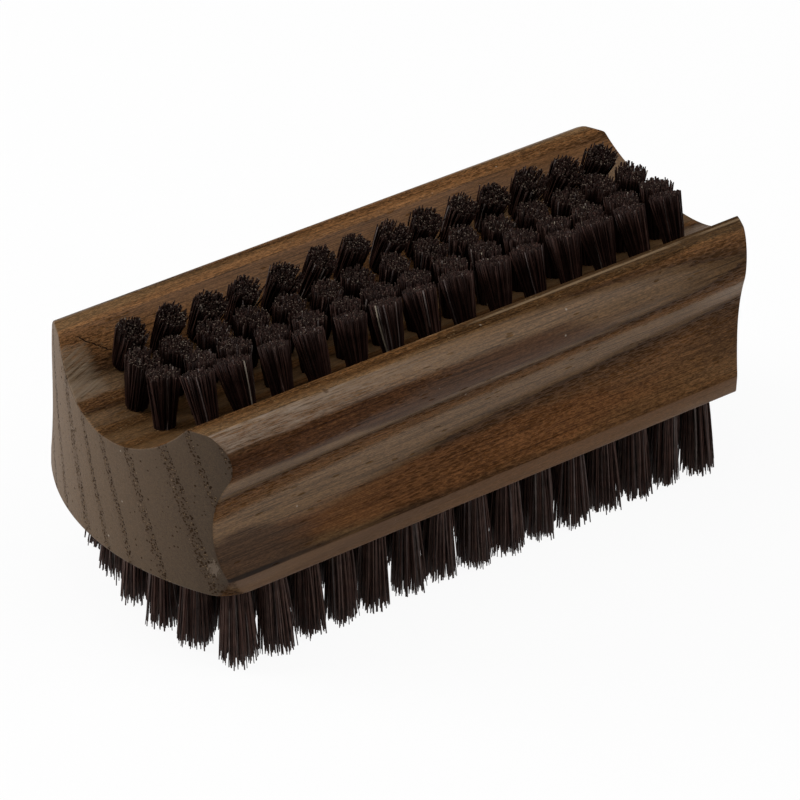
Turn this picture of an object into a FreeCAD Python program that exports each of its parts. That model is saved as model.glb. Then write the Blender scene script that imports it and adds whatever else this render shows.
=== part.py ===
import FreeCAD, Part
import Sketcher
import math
import os

# A two-sided nail brush: one moulded hardwood block with ends that bow outwards, four rows of short tufts
# in the trough along its top and six rows of longer tufts in its flat bottom. Every tuft is folded over a
# flat wire anchor at the bottom of its own blind hole.
# Frame: +X along the block, -Y the front, +Z up. The origin lies under the middle of the block, on the
# plane of the lower bristle tips. Sizes are in millimetres, angles in degrees.

SIZES = [
    ("block_length", 95.0, "block over the middle of its bowed ends"),
    ("block_width", 38.1, "block across its lips, and across the band along its foot"),
    ("block_height", 23.3, "block from its flat bottom to the tops of the lips"),
    ("end_bow", 5.8, "how far the middle of an end stands out past its corners"),
    ("band_height", 2.45, "upright band along the foot"),
    ("cove_radius", 15.0, "hollow of the finger cove"),
    ("lip_radius", 4.7, "round of the lip's outer side"),
    ("lip_shoulder", 3.0, "how far the round stands out past the lip's flat top"),
    ("land_width", 2.65, "flat top of a lip"),
    ("trough_depth", 7.05, "trough below the lips' flat tops"),
    ("hole_width", 3.3, "tuft hole across its flats"),
    ("fit_clearance", 0.05, "play of a tuft in its hole and of an anchor in its tuft"),
    ("cut_overrun", 1.5, "how far a cutting tool runs past the wood or the bristle"),
    ("tuft_sides", 6, "flats on a tuft and on its hole"),
    ("fold_height", 0.7, "bristle folded under the anchor"),
    ("anchor_height", 1.5, "anchor wire on edge"),
    ("anchor_thickness", 0.4, "anchor wire across"),
    ("upper_row_share", 0.672, "outer upper rows at the wood, as a share of half the trough's width"),
    ("upper_hole_share", 0.37, "depth of the upper holes, as a share of the wood under the trough"),
    ("upper_pitch", 5.8, "spacing aimed for along an upper row"),
    ("upper_flare", 0.2, "how far an upper tuft spreads on each side towards its trimmed end"),
    ("upper_tip_gap", 0.4, "between the trimmed ends of the two inner upper rows"),
    ("upper_row_gap", 0.72, "between the trimmed ends of an inner and an outer upper row"),
    ("upper_outer_free", 6.95, "bristles of the outer upper rows above the wood"),
    ("upper_outer_margin", 8.3, "their end holes from the end of the block"),
    ("upper_inner_free", 7.7, "bristles of the inner upper rows above the wood"),
    ("upper_inner_margin", 7.2, "their end holes from the end of the block"),
    ("lower_row_share", 0.761, "outer lower rows at the wood, as a share of half the block's width"),
    ("lower_hole_share", 0.43, "depth of the lower holes, as a share of the wood under the trough"),
    ("lower_free", 12.5, "lower bristles below the wood"),
    ("lower_pitch", 5.45, "spacing aimed for along a lower row"),
    ("lower_margin", 6.0, "end holes of a lower row from the end of the block"),
    ("lower_flare", 0.5, "how far a lower tuft spreads on each side towards its trimmed end"),
    ("lower_splay_share", 0.085, "how much further apart the lower rows are at the tips, as a share"),
]

doc = FreeCAD.newDocument("nail_brush")
sheet = doc.addObject("Spreadsheet::Sheet", "sizes")
for line, (alias, value, meaning) in enumerate(SIZES, start=1):
    sheet.set("A%d" % line, meaning)
    sheet.set("B%d" % line, str(value))
    sheet.setAlias("B%d" % line, alias)
doc.recompute()

size = {alias: float(sheet.get(alias)) for alias, value, meaning in SIZES}
SIDES = int(size["tuft_sides"])

# Formulas that several pieces share, as expressions on the sheet.
BOW_RADIUS = "((sizes.block_width^2 / 4 + sizes.end_bow^2) / (2 * sizes.end_bow))"
LAND_EDGE = "(sizes.block_width / 2 - sizes.lip_shoulder)"
TROUGH_EDGE = "(sizes.block_width / 2 - sizes.lip_shoulder - sizes.land_width)"
TROUGH_RADIUS = "((%s^2 + sizes.trough_depth^2) / (2 * sizes.trough_depth))" % TROUGH_EDGE
WOOD_UNDER_TROUGH = "(sizes.block_height - sizes.trough_depth)"
CORNER = "cos(180 deg / sizes.tuft_sides)"
TUFT_WIDTH = "(sizes.hole_width - 2 * sizes.fit_clearance)"
UPPER_TIP = "(%s + 2 * sizes.upper_flare)" % TUFT_WIDTH
INNER_TIP_PLACE = "((%s + sizes.upper_tip_gap) / 2)" % UPPER_TIP
OUTER_TIP_PLACE = "(%s + %s + sizes.upper_row_gap)" % (INNER_TIP_PLACE, UPPER_TIP)

# The rows of a side are evenly spaced, so each has its share of the outer row's place.
ROW_SHARES = {
    "upper": {"outer": "1", "inner": "(1 / 3)"},
    "lower": {"outer": "1", "middle": "(3 / 5)", "inner": "(1 / 5)"},
}


class Row:
    """One row of tufts: its hole places, their slant and the bristles' length, as expressions."""

    def __init__(self, side, place, across):
        self.name = "%s_%s" % (across, place)
        self.turn = -1 if across == "front" else 1
        self.upper = side == "upper"
        self.label = side
        half = TROUGH_EDGE if self.upper else "sizes.block_width / 2"
        offset = "(%s * sizes.%s_row_share * %s)" % (half, side, ROW_SHARES[side][place])
        margin = "sizes.%s_margin" % ("upper_%s" % place if self.upper else "lower")
        self.run = "(sizes.block_length - 2 * (%s - sqrt(%s^2 - %s^2)) - 2 * %s)" % (
            BOW_RADIUS, BOW_RADIUS, offset, margin)
        self.count = "round(%s / sizes.%s_pitch) + 1" % (self.run, side)
        self.y = "%d * %s" % (self.turn, offset)
        self.depth = "(%s * sizes.%s_hole_share)" % (WOOD_UNDER_TROUGH, side)
        if self.upper:
            tip_place = INNER_TIP_PLACE if place == "inner" else OUTER_TIP_PLACE
            floor = "sizes.lower_free + %s" % WOOD_UNDER_TROUGH
            self.z = "%s + %s - sqrt(%s^2 - %s^2)" % (floor, TROUGH_RADIUS, TROUGH_RADIUS, offset)
            self.free = "sizes.upper_%s_free" % place
            self.angle = "asin((%s - %s) / %s)" % (offset, tip_place, self.free)
            self.trim = "0 deg"
        else:
            lean = "atan(%s * sizes.lower_splay_share / sizes.lower_free)" % offset
            self.z = "sizes.lower_free"
            self.free = "(sizes.lower_free / cos(%s))" % lean
            self.angle = "180 deg + " + lean
            self.trim = "-" + lean
        self.taper = "atan(sizes.%s_flare / %s)" % (side, self.free)


ROWS = [Row("upper", place, "front") for place in ("outer", "inner")]
ROWS += [Row("upper", place, "back") for place in ("inner", "outer")]
ROWS += [Row("lower", place, "front") for place in ("outer", "middle", "inner")]
ROWS += [Row("lower", place, "back") for place in ("inner", "middle", "outer")]


def origin_part(body, role):
    """A body's own origin plane or axis."""
    return [part for part in body.Origin.OriginFeatures if part.Role == role][0]


def new_body(label):
    """An empty body; a row of separate tufts or anchors stays in one body."""
    body = doc.addObject("PartDesign::Body", label)
    body.Label = label
    body.AllowCompound = True
    return body


def new_row_body(label, row):
    """A body whose origin is the mouth of a row's first hole, with Z along the tuft's axis outwards."""
    body = new_body("%s_%s_%s" % (row.label, label, row.name))
    along_x = FreeCAD.Rotation(FreeCAD.Vector(row.turn, 0, 0), 0)
    body.Placement = FreeCAD.Placement(FreeCAD.Vector(0, 0, 0), along_x)
    body.setExpression("Placement.Base.x", "-%s / 2" % row.run)
    body.setExpression("Placement.Base.y", row.y)
    body.setExpression("Placement.Base.z", row.z)
    body.setExpression("Placement.Rotation.Angle", row.angle)
    return body


def new_sketch(body, name, support):
    """A sketch lying on one of the body's planes."""
    sketch = body.newObject("Sketcher::SketchObject", name)
    sketch.AttachmentSupport = [(support, "")]
    sketch.MapMode = "FlatFace"
    return sketch


def drive(sketch, kind, places, start, expression):
    """A dimension in a sketch that follows an expression on the sheet."""
    index = sketch.addConstraint(Sketcher.Constraint(kind, *places, start))
    sketch.renameConstraint(index, "size_%d" % index)
    sketch.setExpression("Constraints.size_%d" % index, expression)


def cutting_plane(body, row):
    """The plane that a tuft is trimmed to: square to an upper tuft, level for a lower one."""
    plane = body.newObject("PartDesign::Plane", "trim")
    plane.AttachmentSupport = [(origin_part(body, "XY_Plane"), "")]
    plane.MapMode = "FlatFace"
    along_x = FreeCAD.Rotation(FreeCAD.Vector(row.turn, 0, 0), 0)
    plane.AttachmentOffset = FreeCAD.Placement(FreeCAD.Vector(0, 0, 0), along_x)
    plane.setExpression("AttachmentOffset.Base.z", row.free)
    plane.setExpression("AttachmentOffset.Rotation.Angle", row.trim)
    return plane


def box_in(body, kind, name, sizes, places):
    """A box feature in a body's own axes, with its sizes and its corner as expressions."""
    box = body.newObject("PartDesign::%sBox" % kind, name)
    box.AttachmentSupport = [(origin_part(body, "XY_Plane"), "")]
    box.MapMode = "FlatFace"
    for prop, expression in zip(("Length", "Width", "Height"), sizes):
        box.setExpression(prop, expression)
    for axis, expression in zip("xyz", places):
        box.setExpression("AttachmentOffset.Base." + axis, expression)
    return box


def repeat(body, row):
    """Copies of the whole body along the block, one for each tuft of the row."""
    pattern = body.newObject("PartDesign::LinearPattern", "row")
    pattern.TransformMode = "Whole shape"
    pattern.Direction = (origin_part(body, "X_Axis"), [""])
    pattern.setExpression("Length", row.run)
    pattern.setExpression("Occurrences", row.count)
    body.Tip = pattern


def block_section(body):
    """Half of the block's section: flat bottom, band, cove, round lip, its flat top and the trough."""
    sketch = new_sketch(body, "section", origin_part(body, "YZ_Plane"))
    bottom = size["lower_free"]
    top = bottom + size["block_height"]
    foot = FreeCAD.Vector(size["block_width"] / 2, bottom + size["band_height"], 0)
    edge = FreeCAD.Vector(size["block_width"] / 2 - size["lip_shoulder"], top, 0)
    inner = FreeCAD.Vector(edge.x - size["land_width"], top, 0)
    middle = FreeCAD.Vector(0, top - size["trough_depth"], 0)

    # The lip's round passes through the edge of its flat top; the cove passes through the band's upper edge
    # and touches the lip's round.
    lip_y = size["block_width"] / 2 - size["lip_radius"]
    lip = FreeCAD.Vector(lip_y, top - math.sqrt(size["lip_radius"] ** 2 - (edge.x - lip_y) ** 2), 0)
    reach = size["lip_radius"] + size["cove_radius"]
    gap = (foot - lip).Length
    along = (reach ** 2 - size["cove_radius"] ** 2 + gap ** 2) / (2 * gap)
    aside = math.sqrt(reach ** 2 - along ** 2)
    way = (foot - lip).normalize()
    cove = lip + way * along + FreeCAD.Vector(-way.y, way.x, 0) * aside
    meet = lip + (cove - lip).normalize() * size["lip_radius"]
    trough_radius = (inner.x ** 2 + size["trough_depth"] ** 2) / (2 * size["trough_depth"])
    trough = middle + FreeCAD.Vector(0, trough_radius, 0)

    def arc(centre, radius, first, last):
        bow = [math.atan2(point.y - centre.y, point.x - centre.x) for point in (first, last)]
        if bow[1] < bow[0]:
            bow[1] += 2 * math.pi
        return Part.ArcOfCircle(Part.Circle(centre, FreeCAD.Vector(0, 0, 1), radius), bow[0], bow[1])

    heel = FreeCAD.Vector(0, bottom, 0)
    toe = FreeCAD.Vector(foot.x, bottom, 0)
    base, band, hollow, round_lip, flat, bed, axis = sketch.addGeometry([
        Part.LineSegment(heel, toe),
        Part.LineSegment(toe, foot),
        arc(cove, size["cove_radius"], meet, foot),
        arc(lip, size["lip_radius"], meet, edge),
        Part.LineSegment(edge, inner),
        arc(trough, trough_radius, middle, inner),
        Part.LineSegment(middle, heel),
    ], False)
    root, upright = -1, -2
    first, last, centre = 1, 2, 3
    for joint in [(base, last, band, first), (band, last, hollow, last), (round_lip, last, flat, first),
                  (flat, last, bed, last), (bed, first, axis, first), (axis, last, base, first)]:
        sketch.addConstraint(Sketcher.Constraint("Coincident", *joint))
    sketch.addConstraint(Sketcher.Constraint("Tangent", hollow, first, round_lip, first))
    for line in (base, flat):
        sketch.addConstraint(Sketcher.Constraint("Horizontal", line))
    for line in (band, axis):
        sketch.addConstraint(Sketcher.Constraint("Vertical", line))
    sketch.addConstraint(Sketcher.Constraint("PointOnObject", base, first, upright))
    sketch.addConstraint(Sketcher.Constraint("PointOnObject", bed, centre, upright))
    drive(sketch, "DistanceY", (root, first, base, first), bottom, "sizes.lower_free")
    drive(sketch, "DistanceX", (base, first, base, last), toe.x, "sizes.block_width / 2")
    drive(sketch, "DistanceY", (band, first, band, last), size["band_height"], "sizes.band_height")
    drive(sketch, "DistanceY", (base, first, flat, first), size["block_height"], "sizes.block_height")
    drive(sketch, "DistanceX", (root, first, flat, first), edge.x, LAND_EDGE)
    drive(sketch, "DistanceX", (root, first, flat, last), inner.x, TROUGH_EDGE)
    drive(sketch, "DistanceY", (axis, first, flat, last), size["trough_depth"], "sizes.trough_depth")
    drive(sketch, "DistanceX", (root, first, round_lip, centre), lip.x,
          "sizes.block_width / 2 - sizes.lip_radius")
    drive(sketch, "Radius", (round_lip,), size["lip_radius"], "sizes.lip_radius")
    drive(sketch, "Radius", (hollow,), size["cove_radius"], "sizes.cove_radius")
    return sketch


def end_waste(body):
    """The waste outside the plan of the block: a frame whose hole has the two bowed ends."""
    sketch = new_sketch(body, "plan", origin_part(body, "XY_Plane"))
    run = size["cut_overrun"]
    far_x = size["block_length"] / 2 + run
    far_y = size["block_width"] / 2 + 2 * run
    near_y = size["block_width"] / 2 + run
    radius = (size["block_width"] ** 2 / 4 + size["end_bow"] ** 2) / (2 * size["end_bow"])
    middle = size["block_length"] / 2 - radius
    swing = math.asin(near_y / radius)
    corner = middle + radius * math.cos(swing)

    def point(x, y):
        return FreeCAD.Vector(x, y, 0)

    outer = [point(-far_x, -far_y), point(far_x, -far_y), point(far_x, far_y), point(-far_x, far_y)]
    frame = sketch.addGeometry([Part.LineSegment(outer[i], outer[(i + 1) % 4]) for i in range(4)], False)
    normal = FreeCAD.Vector(0, 0, 1)
    right_circle = Part.Circle(point(middle, 0), normal, radius)
    left_circle = Part.Circle(point(-middle, 0), normal, radius)
    front, right, back, left = sketch.addGeometry([
        Part.LineSegment(point(-corner, -near_y), point(corner, -near_y)),
        Part.ArcOfCircle(right_circle, -swing, swing),
        Part.LineSegment(point(corner, near_y), point(-corner, near_y)),
        Part.ArcOfCircle(left_circle, math.pi - swing, math.pi + swing),
    ], False)
    root, level = -1, -1
    first, last, centre = 1, 2, 3
    for i in range(4):
        sketch.addConstraint(Sketcher.Constraint("Coincident", frame[i], last, frame[(i + 1) % 4], first))
    for line in (frame[0], frame[2], front, back):
        sketch.addConstraint(Sketcher.Constraint("Horizontal", line))
    for line in (frame[1], frame[3]):
        sketch.addConstraint(Sketcher.Constraint("Vertical", line))
    sketch.addConstraint(Sketcher.Constraint("Symmetric", frame[0], first, frame[2], first, root, first))
    for joint in [(front, last, right, first), (right, last, back, first), (back, last, left, first),
                  (left, last, front, first)]:
        sketch.addConstraint(Sketcher.Constraint("Coincident", *joint))
    sketch.addConstraint(Sketcher.Constraint("PointOnObject", right, centre, level))
    sketch.addConstraint(Sketcher.Constraint("Symmetric", right, centre, left, centre, root, first))
    drive(sketch, "DistanceX", (root, first, frame[1], first), far_x,
          "sizes.block_length / 2 + sizes.cut_overrun")
    drive(sketch, "DistanceY", (root, first, frame[1], last), far_y,
          "sizes.block_width / 2 + 2 * sizes.cut_overrun")
    drive(sketch, "DistanceY", (root, first, back, first), near_y,
          "sizes.block_width / 2 + sizes.cut_overrun")
    drive(sketch, "DistanceX", (root, first, right, centre), middle,
          "sizes.block_length / 2 - " + BOW_RADIUS)
    drive(sketch, "Radius", (right,), radius, BOW_RADIUS)
    sketch.addConstraint(Sketcher.Constraint("Equal", right, left))
    return sketch


def tuft_section(body):
    """A regular figure with tuft_sides flats at the mouth of the hole, two of them square to Y."""
    sketch = new_sketch(body, "tuft_section", origin_part(body, "XY_Plane"))
    radius = (size["hole_width"] - 2 * size["fit_clearance"]) / 2 / math.cos(math.pi / SIDES)
    corners = []
    for i in range(SIDES):
        swing = math.pi / 2 + math.pi * (2 * i + 1) / SIDES
        corners.append(FreeCAD.Vector(radius * math.cos(swing), radius * math.sin(swing), 0))
    lines = sketch.addGeometry(
        [Part.LineSegment(corners[i], corners[(i + 1) % SIDES]) for i in range(SIDES)], False)
    ring = sketch.addGeometry(Part.Circle(FreeCAD.Vector(0, 0, 0), FreeCAD.Vector(0, 0, 1), radius), True)
    root, first, last, centre = -1, 1, 2, 3
    for i in range(SIDES):
        following = lines[(i + 1) % SIDES]
        sketch.addConstraint(Sketcher.Constraint("Coincident", lines[i], last, following, first))
        sketch.addConstraint(Sketcher.Constraint("PointOnObject", lines[i], first, ring))
        if i:
            sketch.addConstraint(Sketcher.Constraint("Equal", lines[0], lines[i]))
    sketch.addConstraint(Sketcher.Constraint("Coincident", ring, centre, root, first))
    sketch.addConstraint(Sketcher.Constraint("Horizontal", lines[SIDES - 1]))
    drive(sketch, "Radius", (ring,), radius, "%s / 2 / %s" % (TUFT_WIDTH, CORNER))
    return sketch


def make_drills(row):
    """What drilling takes out for a row of tufts: the holes, running on past the face of the wood."""
    body = new_row_body("drills", row)
    hole = body.newObject("PartDesign::AdditivePrism", "hole")
    hole.AttachmentSupport = [(origin_part(body, "XY_Plane"), "")]
    hole.MapMode = "FlatFace"
    hole.AttachmentOffset = FreeCAD.Placement(
        FreeCAD.Vector(0, 0, 0), FreeCAD.Rotation(FreeCAD.Vector(0, 0, 1), 0))
    hole.setExpression("Polygon", "sizes.tuft_sides")
    hole.setExpression("Circumradius", "sizes.hole_width / 2 / " + CORNER)
    hole.setExpression("Height", row.depth + " + sizes.cut_overrun")
    hole.setExpression("AttachmentOffset.Base.z", "-" + row.depth)
    hole.setExpression("AttachmentOffset.Rotation.Angle", "90 + 180 / sizes.tuft_sides")
    doc.recompute()
    repeat(body, row)
    return body


def make_block():
    """The moulded block, sawn to its bowed ends and drilled for every tuft."""
    body = new_body("wood_block")
    moulding = body.newObject("PartDesign::Pad", "moulding")
    moulding.Profile = block_section(body)
    moulding.Midplane = True
    moulding.setExpression("Length", "sizes.block_length")
    doc.recompute()
    halves = body.newObject("PartDesign::Mirrored", "halves")
    halves.Originals = [moulding]
    halves.MirrorPlane = (origin_part(body, "XZ_Plane"), [""])
    body.Tip = halves
    doc.recompute()
    square_ended = body.Shape.Volume
    ends = body.newObject("PartDesign::Pocket", "bowed_ends")
    ends.Profile = end_waste(body)
    ends.Reversed = True
    ends.setExpression("Length", "sizes.lower_free + sizes.block_height + sizes.cut_overrun")
    doc.recompute()
    if not 0 < body.Shape.Volume < square_ended:
        raise RuntimeError("the ends were not cut to their bow")
    undrilled = body.Shape.Volume
    holes = body.newObject("PartDesign::Boolean", "tuft_holes")
    holes.Type = "Cut"
    holes.setObjects([make_drills(row) for row in ROWS])
    doc.recompute()
    if not body.Shape.Volume < undrilled:
        raise RuntimeError("the tuft holes cut nothing")
    return body


def flare(body, bundle, row):
    """Draft on a bundle's sides, so that it widens from the mouth of its hole to its trimmed end."""
    sides = []
    for number, face in enumerate(bundle.Shape.Faces, start=1):
        if abs(face.normalAt(0, 0).z) < math.sin(math.pi / SIDES):
            sides.append("Face%d" % number)
    draft = body.newObject("PartDesign::Draft", "flare")
    draft.Base = (bundle, sides)
    draft.NeutralPlane = (origin_part(body, "XY_Plane"), [""])
    draft.Reversed = True
    draft.setExpression("Angle", row.taper)
    body.Tip = draft
    doc.recompute()
    if not draft.Shape.BoundBox.XLength > bundle.Shape.BoundBox.XLength:
        raise RuntimeError("a tuft does not flare")


def make_tufts(row):
    """A row of tufts: bristles folded over an anchor, tight in their holes and flaring to trimmed ends."""
    body = new_row_body("tufts", row)
    section = tuft_section(body)
    trim = cutting_plane(body, row)
    doc.recompute()
    bundle = body.newObject("PartDesign::Pad", "bundle")
    bundle.Profile = section
    bundle.SideType = "Two sides"
    bundle.Type = "UpToFace"
    bundle.UpToFace = (trim, [""])
    bundle.setExpression("Length2", row.depth + " - sizes.fit_clearance")
    doc.recompute()
    flare(body, bundle, row)
    box_in(body, "Subtractive", "anchor_way",
           ("sizes.anchor_thickness + 2 * sizes.fit_clearance", "sizes.hole_width",
            "sizes.anchor_height + 2 * sizes.fit_clearance"),
           ("-sizes.anchor_thickness / 2 - sizes.fit_clearance", "-sizes.hole_width / 2",
            "sizes.fit_clearance + sizes.fold_height - " + row.depth))
    doc.recompute()
    repeat(body, row)
    return body


def make_anchors(row):
    """A row of anchors: short flat wires on edge, each across the bottom of its hole."""
    body = new_row_body("anchors", row)
    box_in(body, "Additive", "wire",
           ("sizes.anchor_thickness", "sizes.hole_width - 2 * sizes.fit_clearance", "sizes.anchor_height"),
           ("-sizes.anchor_thickness / 2", "sizes.fit_clearance - sizes.hole_width / 2",
            "2 * sizes.fit_clearance + sizes.fold_height - " + row.depth))
    doc.recompute()
    repeat(body, row)
    return body


bodies = [make_block()]
for tuft_row in ROWS:
    bodies.append(make_tufts(tuft_row))
    bodies.append(make_anchors(tuft_row))
doc.recompute()

for item in doc.Objects:
    if "Invalid" in item.State or "Error" in item.State:
        raise RuntimeError("%s failed: %s" % (item.Name, item.State))
for body in bodies:
    if body.Shape.isNull() or not body.Shape.isValid():
        raise RuntimeError("%s has no valid shape" % body.Label)

os.makedirs("parts", exist_ok=True)
for body in bodies:
    body.Shape.exportStep(os.path.join("parts", body.Label + ".step"))
    print(body.Label, len(body.Shape.Solids), "solids", round(body.Shape.Volume, 2), "mm3")
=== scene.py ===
import math

import bpy
import numpy as np
from mathutils import Matrix, Vector, noise
from mathutils.geometry import delaunay_2d_cdt


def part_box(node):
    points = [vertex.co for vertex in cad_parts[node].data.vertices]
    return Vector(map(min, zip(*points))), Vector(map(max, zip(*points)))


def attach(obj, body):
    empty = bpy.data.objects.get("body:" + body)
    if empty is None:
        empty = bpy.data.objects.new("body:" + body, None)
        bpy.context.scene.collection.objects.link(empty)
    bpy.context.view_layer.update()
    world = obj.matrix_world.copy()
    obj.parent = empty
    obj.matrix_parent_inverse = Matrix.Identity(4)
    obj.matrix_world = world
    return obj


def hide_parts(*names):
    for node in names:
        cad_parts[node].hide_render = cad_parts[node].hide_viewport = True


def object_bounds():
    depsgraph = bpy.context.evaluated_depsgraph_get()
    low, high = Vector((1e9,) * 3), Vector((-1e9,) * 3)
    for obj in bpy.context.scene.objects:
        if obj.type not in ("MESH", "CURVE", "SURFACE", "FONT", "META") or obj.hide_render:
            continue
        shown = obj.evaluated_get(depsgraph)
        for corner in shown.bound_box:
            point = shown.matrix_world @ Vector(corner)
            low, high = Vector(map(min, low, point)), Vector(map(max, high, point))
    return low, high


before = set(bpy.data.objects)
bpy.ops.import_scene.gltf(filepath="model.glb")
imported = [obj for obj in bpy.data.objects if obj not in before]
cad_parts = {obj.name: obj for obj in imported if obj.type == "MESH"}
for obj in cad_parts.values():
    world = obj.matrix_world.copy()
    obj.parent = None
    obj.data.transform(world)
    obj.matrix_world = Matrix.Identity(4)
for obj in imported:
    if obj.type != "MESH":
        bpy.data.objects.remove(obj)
cad_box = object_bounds()

# Frame: metres, +X along the block, -Y the front, +Z up, the lower bristle tips on z = 0.
# Lengths below are written in millimetres and turned into metres where a mesh is made.
MM = 0.001

# The block, from its CAD box and the radii and steps of its moulding.
block_low, block_high = (np.array(corner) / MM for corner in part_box("wood_block"))
HALF_LENGTH = block_high[0]
HALF_WIDTH = block_high[1]
BOTTOM = block_low[2]
TOP = block_high[2]
BAND_HEIGHT = 2.45
COVE_RADIUS = 15.0
LIP_RADIUS = 4.7
LIP_SHOULDER = 3.0
LAND_WIDTH = 2.65
TROUGH_DEPTH = 7.05
NEAR_END = -HALF_LENGTH
BAND_TOP = BOTTOM + BAND_HEIGHT
LAND_EDGE = HALF_WIDTH - LIP_SHOULDER
TROUGH_RIM = LAND_EDGE - LAND_WIDTH
TROUGH_RADIUS = (TROUGH_RIM ** 2 + TROUGH_DEPTH ** 2) / (2 * TROUGH_DEPTH)
END_BOW = 5.8
BOW_RADIUS = (HALF_WIDTH ** 2 + END_BOW ** 2) / (2 * END_BOW)

# How far edges are eased, and how closely the mesh follows the section. An end's rim is followed by strips
# of points, each with its inset and its least distance from the rim, and the end's net keeps clear of it.
END_ROUND = 0.2
EDGE_EASE = 0.22
FINE_STEP = 0.03
FLAT_STEP = 0.45
TURN_STEP = math.radians(11)
STATION_STEP = 0.8
END_STRIPS = ((0.12, 0.11), (0.4, 0.35))
END_NET_CLEAR = 0.7

# Handling and tool marks: how the front foot of the near end is sanded, and how deep the waves in the
# block's sides are and how many go to a millimetre.
SANDED_WAY = (-0.47, -0.88, -0.25)
SANDED_DEPTH = 0.8
SANDED_SOFTNESS = 0.3
UNTRUE = 0.01
LONG_WAVES = (0.05, 0.3, 0.3)
SHORT_WAVES = (0.4, 0.4, 0.4)

# The drilled holes, as deep as the scene shows them.
HOLE_RADIUS = 1.55
HOLE_DEPTH = 4.0

# The lower rows are drilled a little off: the near end's holes start later, more so towards the back.
NEAR_DRIFT = 1.3
NEAR_DRIFT_SLOPE = 0.055
ROW_DRIFT = -0.3

# Growth rings, where the near end cuts them: places along RING_WAY from the front edge to the back, and
# how far a ring wanders and how ragged it is.
RING_WAY = Vector((0.042, 0.93, -0.36))
RINGS = (-37.5, -33.4, -29.4, -25.6, -21.8, -15.3, -10.3, -6.4, -2.7, 3.0, 7.6, 12.2, 17.4, 22.5)
RING_WANDER = 1.2
RING_TEETH = 0.8

# Colours of a ring, from one row of pores at 0 to the next at 1.
RING_COLOURS = (
    (0.0, (0.046, 0.022, 0.009)),
    (0.07, (0.080, 0.037, 0.014)),
    (0.2, (0.122, 0.055, 0.020)),
    (0.37, (0.124, 0.058, 0.021)),
    (0.5, (0.150, 0.083, 0.036)),
    (0.8, (0.136, 0.074, 0.031)),
    (1.0, (0.086, 0.045, 0.018)),
)

# Shares of a ring between which its early wood and pores come or go, and its late wood's span and ease.
EARLY_START_SHARES = (0.04, 0.12)
EARLY_END_SHARES = (0.56, 0.4)
LATE_SHARES = (0.5, 0.84, 0.14)
PORE_ROW_START_SHARES = (0.0, 0.02)
PORE_ROW_END_SHARES = (0.29, 0.2)
FIRST_PORE_SHARES = (0.16, 0.07)

# How many of the long cells are pores, are filled or hold a pale fleck, and how many spots hold a crumb.
ROW_PORE_SHARE = 0.84
EARLY_PORE_SHARE = 0.12
SCATTERED_PORE_SHARE = 0.03
FILLED_PORE_SHARE = 0.28
FLECK_SHARE = 0.3
CRUMB_SHARE = 0.16

# Broad patches of the wood: middle, reach each way, colour and strength.
WOOD_PATCHES = (
    ((-40.0, -18.0, 17.5), (17.0, 3.5, 3.8), (0.048, 0.022, 0.0095), 0.85),
    ((-2.0, -17.6, 18.2), (32.0, 3.0, 3.6), (0.142, 0.056, 0.018), 0.75),
    # Partly painted shade: the front lip's bulge is made darker, on top of its own darker colour.
    ((-19.0, -19.0, 31.9), (44.0, 2.7, 2.7), (0.058, 0.022, 0.008), 0.85),
    ((42.0, -17.8, 22.0), (9.0, 3.0, 5.0), (0.062, 0.029, 0.011), 0.6),
    ((-22.0, -14.4, 35.9), (30.0, 1.5, 1.6), (0.092, 0.042, 0.014), 0.7),
    ((0.0, 12.5, 34.0), (60.0, 3.6, 4.6), (0.178, 0.080, 0.029), 0.8),
    ((24.0, -14.6, 35.9), (36.0, 1.9, 2.0), (0.050, 0.025, 0.009), 0.85),
    ((-40.0, -4.0, 29.0), (13.0, 9.0, 3.5), (0.066, 0.033, 0.012), 0.65),
)
PATCH_SHAKE = (22.0, 2.2, 2.2)
PATCH_EDGE_SHARES = (1.05, 0.7)

# How fine the grain is, in waves to the millimetre along X, Y and Z, or every way.
WANDER_GRAIN = (0.02, 0.07, 0.07)
TEETH_GRAIN = (0.13, 1.2, 1.2)
PATCH_GRAIN = (0.1, 0.9, 0.9)
FIBRE_GRAIN = (0.10, 4.2, 4.2)
THREAD_GRAIN = (0.07, 7.5, 7.5)
FINE_GRAIN = (1.6, 6.5, 6.5)
PORE_GRAIN = (0.75, 3.2, 3.2)
SCRATCH_GRAIN = (0.3, 5.5, 5.5)
CHATTER_GRAIN = (0.12, 3.2, 0.4)
TOOTH_SCALE = 2.6
TORN_SCALE = 1.7
CRUMB_SCALE = 1.9
SPECK_SCALE = 0.24

# How dark and how light the wood is made by fibres, threads, speckle and, in the sawn ends, by their tooth
# and fine grain, and by a painted shade that darkens them from back to front.
FIBRE_TONES = (0.62, 1.38)
THREAD_EDGES = (0.56, 0.64)
THREAD_DARKNESS = 0.5
SPECKLE_EDGES = (0.35, 0.65)
SPECKLE_STRENGTH = 0.95
TOOTH_TONES = (0.84, 1.16)
SAWN_GRAIN_TONES = (0.8, 1.2)
SAWN_PAINTED_SHADE_MIDDLE = 0.95
SAWN_PAINTED_SHADE_SLOPE = 0.018

# How broken some marks are: what a noise makes of their strength.
DIRT_STRENGTHS = (0.5, 1.0)
SCRATCH_STRENGTHS = (-0.3, 1.3)
CHATTER_STRENGTHS = (0.1, 1.15)
RIM_EDGE_BREAKS = (0.36, 0.52)

# Spots in cells: how far from its middle, in cells, a spot starts to show and where it shows fully. Pores
# and specks start at a radius of their own, within a spread.
PORE_RADIUS = 0.46
PORE_RADIUS_SPREAD = 0.24
PORE_CORE = 0.32
FILLED_PORE_RADII = (0.45, 0.25)
FLECK_RADII = (0.42, 0.2)
CRUMB_RADII = (0.34, 0.16)
SPECK_RADIUS = 0.02
SPECK_RADIUS_SPREAD = 0.045
SPECK_CORE = 0.012

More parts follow.
